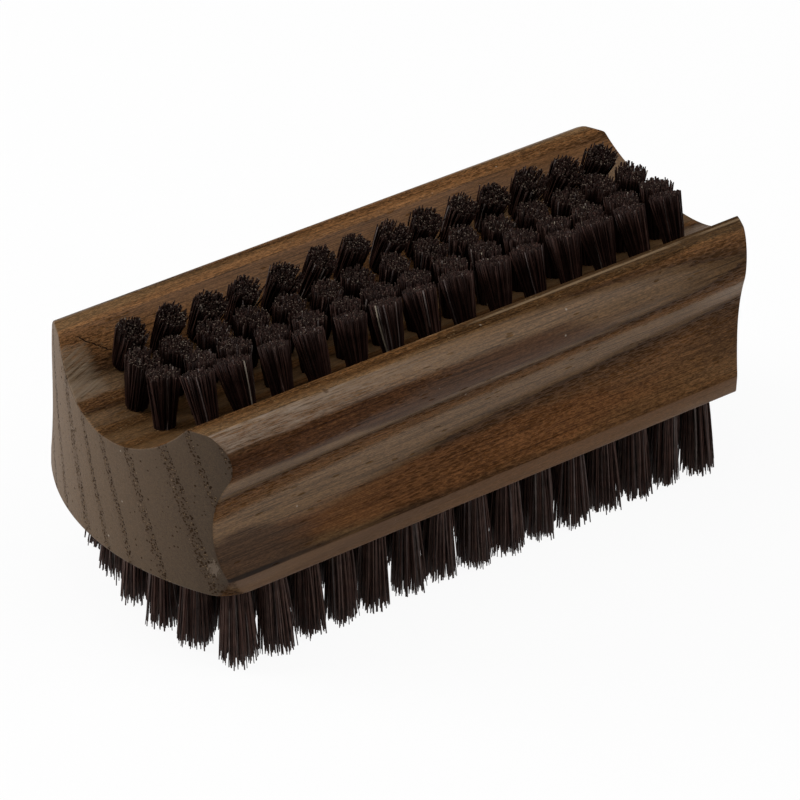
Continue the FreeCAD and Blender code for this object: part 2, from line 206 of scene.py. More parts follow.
# How dark a pore is, how much darker in a sawn end or first in its ring, and how far the foot band
# closes it.
PORE_DARKNESS = 0.25
SAWN_PORE_DARKNESS = 0.42
FIRST_PORE_DARKNESS = 0.25
BAND_PORE_LOSS = 0.8

# Grit, roughness, shine and relief of the wood, and what its kinds and marks add or take away.
PLAIN_GRIT = 0.6
EARLY_GRIT = 0.35
ROUGH_GRIT = 0.4
FIBRE_ROUGHNESS = (0.5, 0.4)
EARLY_ROUGHNESS = 0.1
OPEN_ROUGHNESS = 0.12
PLAIN_SHINE = 0.07
LATE_SHINE = 0.18
SAWN_SHINE = 0.13
BAND_SHINE = 0.11
DULL_LOSS = 0.45
PORE_SHINE_LOSS = 0.85
CHIP_RELIEF = 3.0
CHATTER_RELIEF = 1.2
TOOTH_RELIEF = 0.9
RELIEF_STRENGTH = 0.6
RELIEF_DEPTH = 0.1

# A face is sawn where its normal runs along X by these shares.
SAWN_FACING_SHARES = (0.55, 0.75)

# Where marks lie. A pair says where a mark starts to show and where it shows fully. A span says where it
# begins, where it ends and how softly. Both are in millimetres from the edge that the material names, or
# from the block's middle where it names none. A noise makes some marks uneven by up to the size given.
BAND_EDGE = (0.06, -0.04)
BAND_SIDE = (-0.2, -0.1)
LAND_FACE = (-0.4, -0.2)
LAND_EASE = 0.2
NEAR_TROUGH_LENGTH = (13.5, 7.5)
NEAR_TROUGH_SIDE = (0.0, -1.0)
NEAR_TROUGH_DEPTH = (-10.0, -9.0)
FOOT_LINE_SPAN = (0.06, 0.42, 0.16)
FOOT_LINE_SIDE = (-1.05, -0.65)
FOOT_LINE_LENGTH = (25.5, 9.5)
FOOT_LINE_REST_SHARE = 0.35
LOW_COVE_HEIGHT = (9.0, 3.0)
SHOULDER_SIDE = (0.1, -0.05)
SHOULDER_FACE = (-1.7, -1.1)
SHOULDER_UNEVEN = 0.9
WORN_HIGHLIGHT_LENGTH = (17.0, -27.0)
WORN_HIGHLIGHT_UNEVEN = 24.0
FAR_LIP_LENGTH = (-8.0, 6.0)
FAR_LIP_FACE = (-0.8, -0.5)
RIM_STRIP_SPAN = (-0.3, 0.6, 0.2)
RIM_EDGE_SPAN = (0.72, 0.94, 0.2)
CHATTER_LENGTH = (8.7, 6.5)
CHATTER_SPAN = (-5.0, -0.4, 0.8)
CHATTER_END_UNEVEN = 4.0
CHATTER_SIDE_UNEVEN = 3.0
CHATTER_LEAN = math.radians(-15)
CRACK_SPAN = (5.5, 9.5, 0.8)
CRACK_DEPTH = (-4.8, -3.8)
CRACK_HALF_WIDTHS = (0.09, 0.03)
CRACK_SLOPE = -0.55
CRACK_OFFSET = -11.0
CRACK_UNEVEN = 0.8
LIP_CHIP = (NEAR_END + 22.1, -LAND_EDGE - 0.05, TOP + 0.1)
LIP_CHIP_RADII = (0.95, 0.65)
LIP_CHIP_UNEVEN = 0.8
CORNER_CHIP = (NEAR_END + 4.6, 1.95 - HALF_WIDTH, BOTTOM + 4.1667)
CORNER_CHIP_RADII = (2.7, 2.5)
CORNER_CHIP_UNEVEN = 4.0
CORNER_CHIP_SQUEEZE = (1.0, 1.0, 0.6)

# Colours of the sawn ends, pores and marks, and how strongly each covers the wood.
SAWN_TINT = ((0.099, 0.062, 0.034), 0.93)
BAND_TINT = ((0.122, 0.061, 0.027), 0.62)
DIRT_TINT = ((0.014, 0.007, 0.0035), 0.95)
PORE_TINT = ((0.022, 0.0115, 0.0055), 1.0)
PORE_ROW_TINT = ((0.060, 0.033, 0.015), 0.3)
FILLED_PORE_TINT = ((0.22, 0.15, 0.09), 0.6)
FLECK_TINT = ((0.20, 0.088, 0.030), 0.5)
# Pale wear on the front lip's shoulder, together with a painted highlight there.
WORN_HIGHLIGHT_TINT = ((0.29, 0.22, 0.165), 0.95)
LIP_CHIP_TINT = ((0.085, 0.044, 0.019), 0.8)
RIM_STRIP_TINT = ((0.045, 0.022, 0.008), 0.5)
RIM_EDGE_TINT = ((0.25, 0.172, 0.100), 0.6)
CHATTER_TINT = ((0.235, 0.170, 0.112), 1.0)
CRACK_TINT = ((0.006, 0.004, 0.003), 1.0)
CORNER_CHIP_TINT = ((0.22, 0.165, 0.12), 0.5)
CRUMB_TINT = ((0.165, 0.105, 0.052), 0.6)
SPECK_TINT = ((0.36, 0.31, 0.25), 0.75)

# Tufts: strands to a tuft, their thickness, the tuft's radius at the hole and at the tips, how unevenly
# strands end, how far they lean, how thin they are at each step, and the beta distribution of their tones.
UPPER_TUFTS = {"strands": 240, "thickness": 0.205, "root_radius": 1.32, "tip_radius": 2.08, "ragged": 0.13,
               "splay": 0.11, "taper": (1.0, 1.0, 1.0, 0.95, 0.92), "tones": (1.0, 5.4)}
LOWER_TUFTS = {"strands": 170, "thickness": 0.28, "root_radius": 1.5, "tip_radius": 2.2, "ragged": 0.6,
               "splay": 0.13, "taper": (1.0, 1.0, 0.95, 0.82, 0.5), "tones": (2.8, 2.0)}

# A strand's steps, as shares of its free length from inside the hole to its tip, and how the upper ones are
# clipped below and above their common height.
STEP_SHARES = (-0.12, 0.0, 0.33, 0.66, 1.0)
CLIP_BELOW = -0.4
CLIP_ABOVE = 0.1

# How much strands vary: in place, turn, flare and thickness, and by locks that lean and end together. The
# shares of leans, cuts and bends are of the tuft's splay or raggedness.
LOCKS = 8
LOCK_BLUR = 0.6
PLACE_SHAKE = 0.02
TURN_SHAKE = 0.12
FLARE_SHAKE = 0.08
SIZE_SHAKE = 0.14
LOCK_LEAN_SHARE = 0.9
LOCK_CUT_SHARE = 0.8
TUFT_LEAN_SHARE = 1.2
STRAY_LEAN_SHARE = 4.0
BEND_SHARE = 0.5
SPREAD_POWER = 0.9

# How many strands stray, how many are pale, how many of the strays are, and the tones of pale ones.
STRAY_SHARE = 0.011
PALE_SHARE = 0.024
PALE_STRAY_SHARE = 0.3
PALE_TONES = (0.9, 1.0)

SIDES = ("front_outer", "front_middle", "front_inner", "back_inner", "back_middle", "back_outer")
UPPER_ROWS = ["upper_tufts_" + side for side in SIDES if "middle" not in side]
LOWER_ROWS = ["lower_tufts_" + side for side in SIDES]


# Materials

class Graph:
    """A material's node tree, with short calls for the nodes used below."""

    def __init__(self, name):
        self.material = bpy.data.materials.new(name)
        self.material.use_nodes = True
        self.tree = self.material.node_tree
        self.tree.nodes.clear()
        self.output = self.tree.nodes.new("ShaderNodeOutputMaterial")

    def node(self, kind, inputs=None, **settings):
        made = self.tree.nodes.new("ShaderNode" + kind)
        for name, value in settings.items():
            setattr(made, name, value)
        for name, value in (inputs or {}).items():
            socket = made.inputs[name]
            if isinstance(value, bpy.types.NodeSocket):
                self.tree.links.new(value, socket)
            else:
                socket.default_value = value
        return made

    def position(self):
        """The place on the object, in millimetres."""
        place = self.node("TexCoord").outputs["Object"]
        return self.node("VectorMath", {0: place, "Scale": 1 / MM}, operation="SCALE").outputs[0]

    def stretch(self, vector, scale):
        return self.node("VectorMath", {0: vector, 1: scale}, operation="MULTIPLY").outputs[0]

    def math(self, operation, a, b=0.0, clamp=False):
        return self.node("Math", {0: a, 1: b}, operation=operation, use_clamp=clamp).outputs[0]

    def times(self, *values):
        product = values[0]
        for value in values[1:]:
            product = self.math("MULTIPLY", product, value)
        return product

    def plus(self, *values):
        total = values[0]
        for value in values[1:]:
            total = self.math("ADD", total, value)
        return total

    def without(self, value, share=1.0):
        """What a number, or a share of it, leaves of 1."""
        return self.math("SUBTRACT", 1.0, self.times(value, share))

    def absolute(self, value):
        return self.math("ABSOLUTE", value)

    def distance(self, vector, point):
        return self.node("VectorMath", {0: vector, 1: point}, operation="DISTANCE").outputs["Value"]

    def noise(self, vector, scale=1.0, detail=3.0, roughness=0.55):
        return self.node("TexNoise", {"Vector": vector, "Scale": scale, "Detail": detail,
                                      "Roughness": roughness}).outputs["Fac"]

    def cells(self, vector, scale=1.0):
        """Scattered spots: the distance to the nearest, and three numbers of its own from 0 to 1."""
        made = self.node("TexVoronoi", {"Vector": vector, "Scale": scale, "Randomness": 1.0})
        own = self.node("SeparateColor", {"Color": made.outputs["Color"]})
        return made.outputs["Distance"], [own.outputs[i] for i in range(3)]

    def step(self, value, low, high):
        """A smooth step from 0 at low to 1 at high."""
        return self.node("MapRange", {"Value": value, "From Min": low, "From Max": high},
                         interpolation_type="SMOOTHSTEP").outputs[0]

    def window(self, value, low, high, ease):
        """1 between low and high, falling to 0 over ease on both sides."""
        return self.times(self.step(value, low - ease, low), self.step(value, high + ease, high))

    def spread(self, value, low, high):
        """A noise, which stays near the middle of 0 to 1, spread from low to high."""
        return self.node("MapRange", {"Value": value, "From Min": 0.3, "From Max": 0.7,
                                      "To Min": low, "To Max": high}).outputs[0]

    def ramp(self, value, stops):
        made = self.node("ValToRGB", {"Fac": value})
        elements = made.color_ramp.elements
        while len(elements) < len(stops):
            elements.new(0.5)
        for element, (place, colour) in zip(elements, stops):
            element.position = place
            element.color = (*colour, 1.0)
        return made.outputs["Color"]

    def curve(self, value, places):
        """A number read from straight lines through places, each (value, result) from 0 to 1."""
        made = self.node("FloatCurve", {"Value": value})
        line = made.mapping.curves[0]
        line.points[0].location, line.points[-1].location = places[0], places[-1]
        for place in places[1:-1]:
            line.points.new(*place)
        for point in line.points:
            point.handle_type = "VECTOR"
        made.mapping.update()
        return made.outputs[0]

    def mix(self, share, a, b, blend="MIX"):
        made = self.node("Mix", {"Factor": share}, data_type="RGBA", blend_type=blend)
        for socket, value in ((made.inputs[6], a), (made.inputs[7], b)):
            if isinstance(value, bpy.types.NodeSocket):
                self.tree.links.new(value, socket)
            else:
                socket.default_value = (*value, 1.0)
        return made.outputs[2]

    def shade(self, colour, value):
        """A colour made darker or lighter by a number."""
        grey = self.node("CombineColor", {"Red": value, "Green": value, "Blue": value}).outputs[0]
        return self.mix(1.0, colour, grey, "MULTIPLY")

    def attribute(self, name):
        return self.node("Attribute", attribute_name=name).outputs["Fac"]

    def surface(self, **inputs):
        named = {name.replace("_", " "): value for name, value in inputs.items()}
        shader = self.node("BsdfPrincipled", named)
        self.tree.links.new(shader.outputs[0], self.output.inputs["Surface"])
        return self.material


class Wood(Graph):
    """Heat-treated ash: leaning growth rings with open pores, sawn ends, and the marks of use."""

    def __init__(self):
        super().__init__("heat_treated_ash")
        self.place = self.position()
        self.x, self.y, self.z = self.node("SeparateXYZ", {0: self.place}).outputs
        self.off_middle = self.absolute(self.y)
        normal = self.node("SeparateXYZ", {0: self.node("NewGeometry").outputs["Normal"]}).outputs
        self.sawn = self.step(self.absolute(normal[0]), *SAWN_FACING_SHARES)
        self.long_side = self.without(self.sawn)
        self.teeth = self.grain(TEETH_GRAIN, detail=4.0, roughness=0.65)
        self.fibres = self.grain(FIBRE_GRAIN, detail=4.0, roughness=0.75)
        self.fine = self.grain(FINE_GRAIN, detail=3.0, roughness=0.75)
        self.tooth = self.noise(self.place, scale=TOOTH_SCALE, detail=4.0, roughness=0.75)

        # The foot band, the lips' flat tops, and what the cutter left rough.
        self.band = self.times(self.fade(self.z, BAND_TOP, BAND_EDGE),
                               self.fade(self.off_middle, HALF_WIDTH, BAND_SIDE), self.long_side)
        self.land = self.times(self.fade(self.z, TOP, LAND_FACE), self.long_side,
                               self.window(self.off_middle, TROUGH_RIM, LAND_EDGE, LAND_EASE))
        near_trough = self.times(self.fade(self.x, NEAR_END, NEAR_TROUGH_LENGTH),
                                 self.fade(self.off_middle, TROUGH_RIM, NEAR_TROUGH_SIDE),
                                 self.fade(self.z, TOP, NEAR_TROUGH_DEPTH), self.long_side)
        self.rough = self.math("MAXIMUM", self.land, near_trough)

    def grain(self, waves, detail, roughness=0.55):
        """A noise drawn out along the block."""
        return self.noise(self.stretch(self.place, waves), detail=detail, roughness=roughness)

    def fade(self, value, edge, pair):
        """A smooth step between two distances from an edge."""
        return self.step(value, edge + pair[0], edge + pair[1])

    def within(self, value, edge, span):
        """A window between two distances from an edge, with its ease."""
        low, high, ease = span
        return self.window(value, edge + low, edge + high, ease)

    def uneven(self, value, noise, reach):
        """A measure that a noise shifts by up to reach."""
        return self.plus(value, self.times(noise, reach))

    def paint(self, share, tint):
        """Lay a tint over the wood, as far as share and the tint's own strength say."""
        shown, strength = tint
        self.colour = self.mix(self.times(share, strength), self.colour, shown)

    def darken(self, value):
        """Make the wood darker, or lighter above 1."""
        self.colour = self.shade(self.colour, value)

    def ring_phase(self):
        """Where a place lies in its growth ring: 0 at the row of pores, 1 just before the next."""
        along_way = self.node("VectorMath", {0: self.place, 1: RING_WAY}, operation="DOT_PRODUCT")
        wander = self.grain(WANDER_GRAIN, detail=1.0)
        across = self.plus(along_way.outputs["Value"], -RING_WAY[0] * NEAR_END,
                           self.times(self.math("SUBTRACT", wander, 0.5), RING_WANDER),
                           self.times(self.math("SUBTRACT", self.teeth, 0.5), RING_TEETH))
        span = RINGS[-1] - RINGS[0]
        gaps = len(RINGS) - 1
        share = self.math("DIVIDE", self.math("SUBTRACT", across, RINGS[0]), span)
        counted = self.curve(share, [((ring - RINGS[0]) / span, i / gaps) for i, ring in enumerate(RINGS)])
        return self.math("FRACT", self.times(counted, float(gaps)))

    def grow(self):
        """Early wood is orange and coarse, late wood grey-brown and close. Both darken to the next ring."""
        self.phase = self.ring_phase()
        self.early = self.times(self.step(self.phase, *EARLY_START_SHARES),
                                self.step(self.phase, *EARLY_END_SHARES))
        self.late = self.window(self.phase, *LATE_SHARES)
        self.colour = self.ramp(self.phase, RING_COLOURS)
        self.stain_and_shade()

        # Fibres and dark threads streak everything along X. A speckle stands in early wood and rough places.
        self.darken(self.spread(self.fibres, *FIBRE_TONES))
        threads = self.grain(THREAD_GRAIN, detail=2.0)
        self.darken(self.without(self.step(threads, *THREAD_EDGES), THREAD_DARKNESS))
        self.grit = self.plus(PLAIN_GRIT, self.times(self.early, EARLY_GRIT),
                              self.times(self.rough, ROUGH_GRIT))
        speckle = self.math("SUBTRACT", self.step(self.fine, *SPECKLE_EDGES), 0.5)
        self.darken(self.plus(1.0, self.times(speckle, SPECKLE_STRENGTH, self.grit)))

    def stain_and_shade(self):
        """Broad patches, with edges that are shaken along the grain. One of them is partly painted shade."""
        waves = self.stretch(self.place, PATCH_GRAIN)
        shake = self.node("TexNoise", {"Vector": waves, "Scale": 1.0, "Detail": 3.0}).outputs["Color"]
        shift = self.stretch(shake, PATCH_SHAKE)
        shaken = self.node("VectorMath", {0: self.place, 1: shift}, operation="ADD").outputs[0]
        self.covered = 0.0
        for centre, reach, shown, strength in WOOD_PATCHES:
            moved = np.array(centre) + np.array(PATCH_SHAKE) / 2
            off = self.distance(self.stretch(shaken, [1 / length for length in reach]), moved / reach)
            patch = self.times(self.step(off, *PATCH_EDGE_SHARES), strength)
            self.colour = self.mix(patch, self.colour, shown)
            self.covered = self.math("MAXIMUM", self.covered, patch)

    def mould_foot(self):
        """The foot band is smoothed by the cutter and stands off from the cove by a dirty line."""
        self.paint(self.band, BAND_TINT)
        length = self.plus(FOOT_LINE_REST_SHARE, self.fade(self.x, NEAR_END, FOOT_LINE_LENGTH))
        line = self.times(self.within(self.z, BAND_TOP, FOOT_LINE_SPAN),
                          self.fade(self.off_middle, HALF_WIDTH, FOOT_LINE_SIDE), self.long_side,
                          length, self.spread(self.teeth, *DIRT_STRENGTHS))
        self.paint(line, DIRT_TINT)

    def open_pores(self):
        """Pores are long cells: dashes on the sides and dots in the ends, thickest where a ring starts."""
        distance, own = self.cells(self.stretch(self.place, PORE_GRAIN))
        row = self.times(self.step(self.phase, *PORE_ROW_START_SHARES),
                         self.step(self.phase, *PORE_ROW_END_SHARES))
        crowd = self.plus(self.times(row, ROW_PORE_SHARE), SCATTERED_PORE_SHARE,
                          self.times(self.early, self.long_side, EARLY_PORE_SHARE))
        present = self.math("LESS_THAN", own[0], crowd)
        radius = self.plus(PORE_RADIUS, self.times(own[1], PORE_RADIUS_SPREAD))
        dot = self.step(distance, radius, PORE_CORE)
        self.pore = self.times(present, dot, self.without(self.band, BAND_PORE_LOSS))
        self.saw_ends(row)

        first_pores = self.step(self.phase, *FIRST_PORE_SHARES)
        darkness = self.plus(PORE_DARKNESS, self.times(self.sawn, SAWN_PORE_DARKNESS),
                             self.times(first_pores, FIRST_PORE_DARKNESS))
        self.paint(self.times(self.pore, darkness), PORE_TINT)
        filled = self.times(self.math("GREATER_THAN", own[2], 1 - FILLED_PORE_SHARE),
                            self.step(distance, *FILLED_PORE_RADII), row, self.sawn)
        self.paint(filled, FILLED_PORE_TINT)
        plain = self.without(self.math("MAXIMUM", present, self.band))
        fleck = self.times(self.math("GREATER_THAN", own[2], 1 - FLECK_SHARE),
                           self.step(distance, *FLECK_RADII), self.early, self.long_side, plain)
        self.paint(fleck, FLECK_TINT)

    def saw_ends(self, pore_row):
        """The sawn ends are dull and greyish, with a fine tooth, and painted shade makes them darker towards
        the front.
        """
        shown, strength = SAWN_TINT
        end = self.mix(strength, self.colour, shown)
        end = self.shade(end, self.spread(self.tooth, *TOOTH_TONES))
        # Painted shade: the sawn ends are darker towards the front and lighter towards the back.
        painted_front_shade = self.plus(SAWN_PAINTED_SHADE_MIDDLE, self.times(self.y, SAWN_PAINTED_SHADE_SLOPE))
        end = self.shade(end, self.times(self.spread(self.fine, *SAWN_GRAIN_TONES), painted_front_shade))
        shown, strength = PORE_ROW_TINT
        end = self.mix(self.times(pore_row, strength), end, shown)
        self.colour = self.mix(self.sawn, self.colour, end)

    def wear_lip_and_paint_highlight(self):
        """The front lip's shoulder is worn pale and scratched, partly a painted highlight, from the near end
        to about the middle.
        """
        uneven_z = self.uneven(self.z, self.teeth, SHOULDER_UNEVEN)
        shoulder = self.times(self.fade(self.y, -LAND_EDGE, SHOULDER_SIDE),
                              self.fade(uneven_z, TOP, SHOULDER_FACE), self.long_side)
        length = self.step(self.uneven(self.x, self.fibres, WORN_HIGHLIGHT_UNEVEN), *WORN_HIGHLIGHT_LENGTH)
        self.scratches = self.grain(SCRATCH_GRAIN, detail=4.0, roughness=0.8)
        self.worn_highlight = self.times(shoulder, length, self.spread(self.scratches, *SCRATCH_STRENGTHS))
        # Partly painted highlight: the pale tint stands for light on the shoulder as well as for its wear.
        self.paint(self.worn_highlight, WORN_HIGHLIGHT_TINT)
        off_chip = self.distance(self.place, LIP_CHIP)
        self.chip = self.step(self.uneven(off_chip, self.fine, LIP_CHIP_UNEVEN), *LIP_CHIP_RADII)
        self.paint(self.chip, LIP_CHIP_TINT)

        # Along the far half its inner rim is worn to a dark strip with a pale, broken edge.
        front = self.times(self.y, -1.0)
        far_lip = self.times(self.step(self.x, *FAR_LIP_LENGTH), self.fade(self.z, TOP, FAR_LIP_FACE),
                             self.long_side)
        self.paint(self.times(far_lip, self.within(front, TROUGH_RIM, RIM_STRIP_SPAN)), RIM_STRIP_TINT)
        broken_edge = self.times(far_lip, self.within(front, TROUGH_RIM, RIM_EDGE_SPAN),
                                 self.step(self.teeth, *RIM_EDGE_BREAKS))
        self.paint(broken_edge, RIM_EDGE_TINT)

    def mark_near_end(self):
        """Cutter chatter and a crack where the trough meets the near end, and a chipped corner."""
        uneven_x = self.uneven(self.x, self.teeth, CHATTER_END_UNEVEN)
        uneven_y = self.uneven(self.y, self.teeth, CHATTER_SIDE_UNEVEN)
        chatter = self.times(self.fade(uneven_x, NEAR_END, CHATTER_LENGTH),
                             self.within(uneven_y, TROUGH_RIM, CHATTER_SPAN), self.long_side)
        turn = {"Vector": self.place, "Angle": CHATTER_LEAN}
        leaning = self.node("VectorRotate", turn, rotation_type="Z_AXIS").outputs[0]
        marks = self.noise(self.stretch(leaning, CHATTER_GRAIN), detail=3.0, roughness=0.7)
        self.stripes = self.times(chatter, self.spread(marks, *CHATTER_STRENGTHS))
        self.paint(self.stripes, CHATTER_TINT)

        crack_y = self.uneven(self.times(self.x, CRACK_SLOPE), self.teeth, CRACK_UNEVEN)
        crack_y = self.plus(crack_y, CRACK_OFFSET)
        off_crack = self.absolute(self.math("SUBTRACT", self.y, crack_y))
        self.crack = self.times(self.step(off_crack, *CRACK_HALF_WIDTHS),
                                self.within(self.x, NEAR_END, CRACK_SPAN),
                                self.fade(self.z, TOP, CRACK_DEPTH))
        self.paint(self.crack, CRACK_TINT)

        torn = self.noise(self.place, scale=TORN_SCALE, detail=4.0, roughness=0.8)
        off_corner = self.distance(self.stretch(self.place, CORNER_CHIP_SQUEEZE),
                                   np.multiply(CORNER_CHIP, CORNER_CHIP_SQUEEZE))
        chipped = self.step(self.uneven(off_corner, torn, CORNER_CHIP_UNEVEN), *CORNER_CHIP_RADII)
        self.paint(chipped, CORNER_CHIP_TINT)

    def dust(self):
        """Crumbs lie in the rough places, and a few larger specks anywhere."""
        off_crumb, own = self.cells(self.place, scale=CRUMB_SCALE)
        present = self.math("LESS_THAN", own[0], CRUMB_SHARE)
        self.paint(self.times(self.step(off_crumb, *CRUMB_RADII), present, self.rough), CRUMB_TINT)
        off_speck, own = self.cells(self.place, scale=SPECK_SCALE)
        radius = self.plus(SPECK_RADIUS, self.times(own[0], SPECK_RADIUS_SPREAD))
        self.paint(self.step(off_speck, radius, SPECK_CORE), SPECK_TINT)

    def finish(self):
        """Late wood, the foot band and the sawn ends shine a little. Patches, lands and pores are dull."""
        open_grain = self.times(self.plus(self.pore, self.sawn), OPEN_ROUGHNESS)
        coarse = self.times(self.early, self.long_side, EARLY_ROUGHNESS)
        roughness = self.plus(self.spread(self.fibres, *FIBRE_ROUGHNESS), coarse)
        roughness = self.math("ADD", roughness, open_grain, clamp=True)

        shine = self.plus(PLAIN_SHINE, self.times(self.late, self.long_side, LATE_SHINE),
                          self.times(self.sawn, SAWN_SHINE))
        low_cove = self.times(self.fade(self.z, BOTTOM, LOW_COVE_HEIGHT), self.long_side)
        dull = self.math("MAXIMUM", self.math("MAXIMUM", low_cove, self.covered), self.land)
        shine = self.times(shine, self.without(self.times(dull, self.long_side), DULL_LOSS))
        shine = self.plus(shine, self.times(self.band, BAND_SHINE))
        shine = self.times(shine, self.without(self.pore, PORE_SHINE_LOSS))

        sunk = self.plus(self.pore, self.times(self.plus(self.crack, self.chip), CHIP_RELIEF))
        raised = self.plus(self.times(self.fine, self.grit), self.times(self.worn_highlight, self.scratches),
                           self.times(self.stripes, CHATTER_RELIEF),
                           self.times(self.tooth, self.sawn, TOOTH_RELIEF))
        height = self.math("SUBTRACT", raised, sunk)
        relief = {"Height": height, "Strength": RELIEF_STRENGTH, "Distance": RELIEF_DEPTH * MM}
        bump = self.node("Bump", relief).outputs[0]
        return self.surface(Base_Color=self.colour, Roughness=roughness, Specular_IOR_Level=shine,
                            Normal=bump)


def wood_material():
    wood = Wood()
    wood.grow()
    wood.mould_foot()
    wood.open_pores()
    wood.wear_lip_and_paint_highlight()
    wood.mark_near_end()
    wood.dust()
    return wood.finish()


def bristle_material():
    """Stiff dark natural bristle; every strand has its own tone, and a few are pale."""
    g = Graph("dark_bristle")
    tone = g.attribute("tone")
    colour = g.ramp(tone, [
        (0.0, (0.0102, 0.0046, 0.0036)), (0.4, (0.0400, 0.0190, 0.0145)), (0.74, (0.082, 0.0500, 0.0410)),
        (0.92, (0.080, 0.060, 0.056)), (0.985, (0.13, 0.105, 0.095)), (1.0, (0.32, 0.27, 0.20))])
    along = g.noise(g.position(), scale=0.9, detail=2.0)
    colour = g.shade(colour, g.spread(along, 0.7, 1.3))
    return g.surface(Base_Color=colour, Roughness=g.spread(along, 0.38, 0.54), Specular_IOR_Level=0.05)


def cut_end_material():
    """The clipped ends of the bristles: a dark rind about a paler, dull core."""
    g = Graph("cut_bristle_end")
    grain = g.noise(g.position(), scale=7.0, detail=2.0)
    tone = g.math("ADD", g.attribute("core"), g.times(g.math("SUBTRACT", grain, 0.5), 0.6))
    colour = g.ramp(tone, [
        (0.0, (0.006, 0.0032, 0.0025)), (0.46, (0.010, 0.0060, 0.0045)), (0.7, (0.030, 0.0205, 0.0150)),
        (0.88, (0.075, 0.056, 0.042)), (1.0, (0.14, 0.108, 0.080))])
    return g.surface(Base_Color=colour, Roughness=0.7, Specular_IOR_Level=0.08)


def anchor_material():
    """Drawn flat wire: bright metal with fine lines along it and a grey film."""
    g = Graph("drawn_wire")
    place = g.position()
    lines = g.noise(g.stretch(place, (9.0, 0.6, 9.0)), detail=3.0)
    film = g.noise(place, scale=1.4, detail=2.0)
    colour = g.mix(film, (0.62, 0.61, 0.58), (0.38, 0.37, 0.35))
    bump = g.node("Bump", {"Height": lines, "Strength": 0.2, "Distance": 0.02 * MM}).outputs[0]
    return g.surface(Base_Color=colour, Metallic=1.0, Roughness=g.spread(lines, 0.25, 0.5), Normal=bump)


# The block

def arc(centre, first, last, steps, turn):
    """Points on a circle from first to last about centre; turn is 1 anticlockwise, -1 clockwise."""
    start, end = (math.atan2(point[1] - centre[1], point[0] - centre[0]) for point in (first, last))
    sweep = (end - start) * turn % (2 * math.pi) * turn
    radius = math.dist(centre, first)
    angles = start + sweep * np.linspace(0, 1, steps)
    return np.column_stack([centre[0] + radius * np.cos(angles), centre[1] + radius * np.sin(angles)])


def true_section(steps=200):
    """The block's section as a closed run of (y, z) points, with sharp edges."""
    foot = np.array([HALF_WIDTH, BAND_TOP])
    edge = np.array([LAND_EDGE, TOP])
    rim = np.array([TROUGH_RIM, TOP])
    lip_y = HALF_WIDTH - LIP_RADIUS
    lip = np.array([lip_y, TOP - math.sqrt(LIP_RADIUS ** 2 - (edge[0] - lip_y) ** 2)])
    reach = LIP_RADIUS + COVE_RADIUS
    gap = math.dist(foot, lip)
    along = (reach ** 2 - COVE_RADIUS ** 2 + gap ** 2) / (2 * gap)
    way = (foot - lip) / gap
    cove = lip + way * along + np.array([-way[1], way[0]]) * math.sqrt(reach ** 2 - along ** 2)
    meet = lip + (cove - lip) / reach * LIP_RADIUS
    floor = np.array([0.0, TOP - TROUGH_DEPTH])
    half = np.vstack([
        [[0.0, BOTTOM], [HALF_WIDTH, BOTTOM]],
        arc(cove, foot, meet, steps, -1),
        arc(lip, meet, edge, steps, 1),
        arc(floor + (0, TROUGH_RADIUS), rim, floor, steps, -1)])
    return np.vstack([half, (half * (-1, 1))[-2:0:-1]])


def eased_section():
    """The section with its edges eased, and its points closest together where it turns."""
    sharp = true_section()
    closed = np.vstack([sharp, sharp[:1]])
    run = np.concatenate([[0], np.cumsum(np.linalg.norm(np.diff(closed, axis=0), axis=1))])
    places = np.linspace(0, run[-1], round(run[-1] / FINE_STEP), endpoint=False)
    fine = np.column_stack([np.interp(places, run, closed[:, i]) for i in range(2)])

    shifts = np.arange(-3 * EDGE_EASE, 3 * EDGE_EASE, FINE_STEP) // FINE_STEP
    weights = np.exp(-0.5 * (shifts * FINE_STEP / EDGE_EASE) ** 2)
    summed = sum(weight * np.roll(fine, int(shift), axis=0) for shift, weight in zip(shifts, weights))
    fine = summed / weights.sum()

    ahead = np.roll(fine, -1, axis=0) - fine
    heading = np.unwrap(np.arctan2(ahead[:, 1], ahead[:, 0]))
    turn = np.abs(np.diff(heading, append=heading[-1]))
    need = np.cumsum(FINE_STEP / FLAT_STEP + turn / TURN_STEP)
    picks = np.searchsorted(need, np.linspace(0, need[-1], math.ceil(need[-1]), endpoint=False))
    return fine[np.unique(picks)]


def end_place(y):
    """How far the bowed end reaches along X at a place across the block."""
    return HALF_LENGTH - BOW_RADIUS + np.sqrt(BOW_RADIUS ** 2 - np.square(y))


def end_faces(rim, inward):
    """Points and triangles that fill an end inside its rim: two strips along the rim, then a net."""
    net = [(y, z) for y in np.arange(-HALF_WIDTH, HALF_WIDTH) for z in np.arange(BOTTOM, TOP)]
    layers = [(rim + inward * inset, clear) for inset, clear in END_STRIPS]
    layers.append((np.array(net), END_NET_CLEAR))
    fill = []
    for points, clear in layers:
        apart = np.linalg.norm(points[:, None] - rim[None], axis=2).min(axis=1)
        fill += points[apart > clear].tolist()
    border = [(i, (i + 1) % len(rim)) for i in range(len(rim))]
    inside_border = 1
    flat, _, triangles, _, _, _ = delaunay_2d_cdt(
        [Vector(point) for point in rim.tolist() + fill], border, [], inside_border, 1e-7)
    return np.array([tuple(point) for point in flat]), triangles


def sand(points, corner, way, depth, softness):
    """Rub a corner down: points beyond a plane across it are drawn back to the plane."""
    way = np.array(way) / np.linalg.norm(way)
    beyond = (points - corner) @ way + depth
    return points - np.outer(softness * np.logaddexp(0, beyond / softness), way)


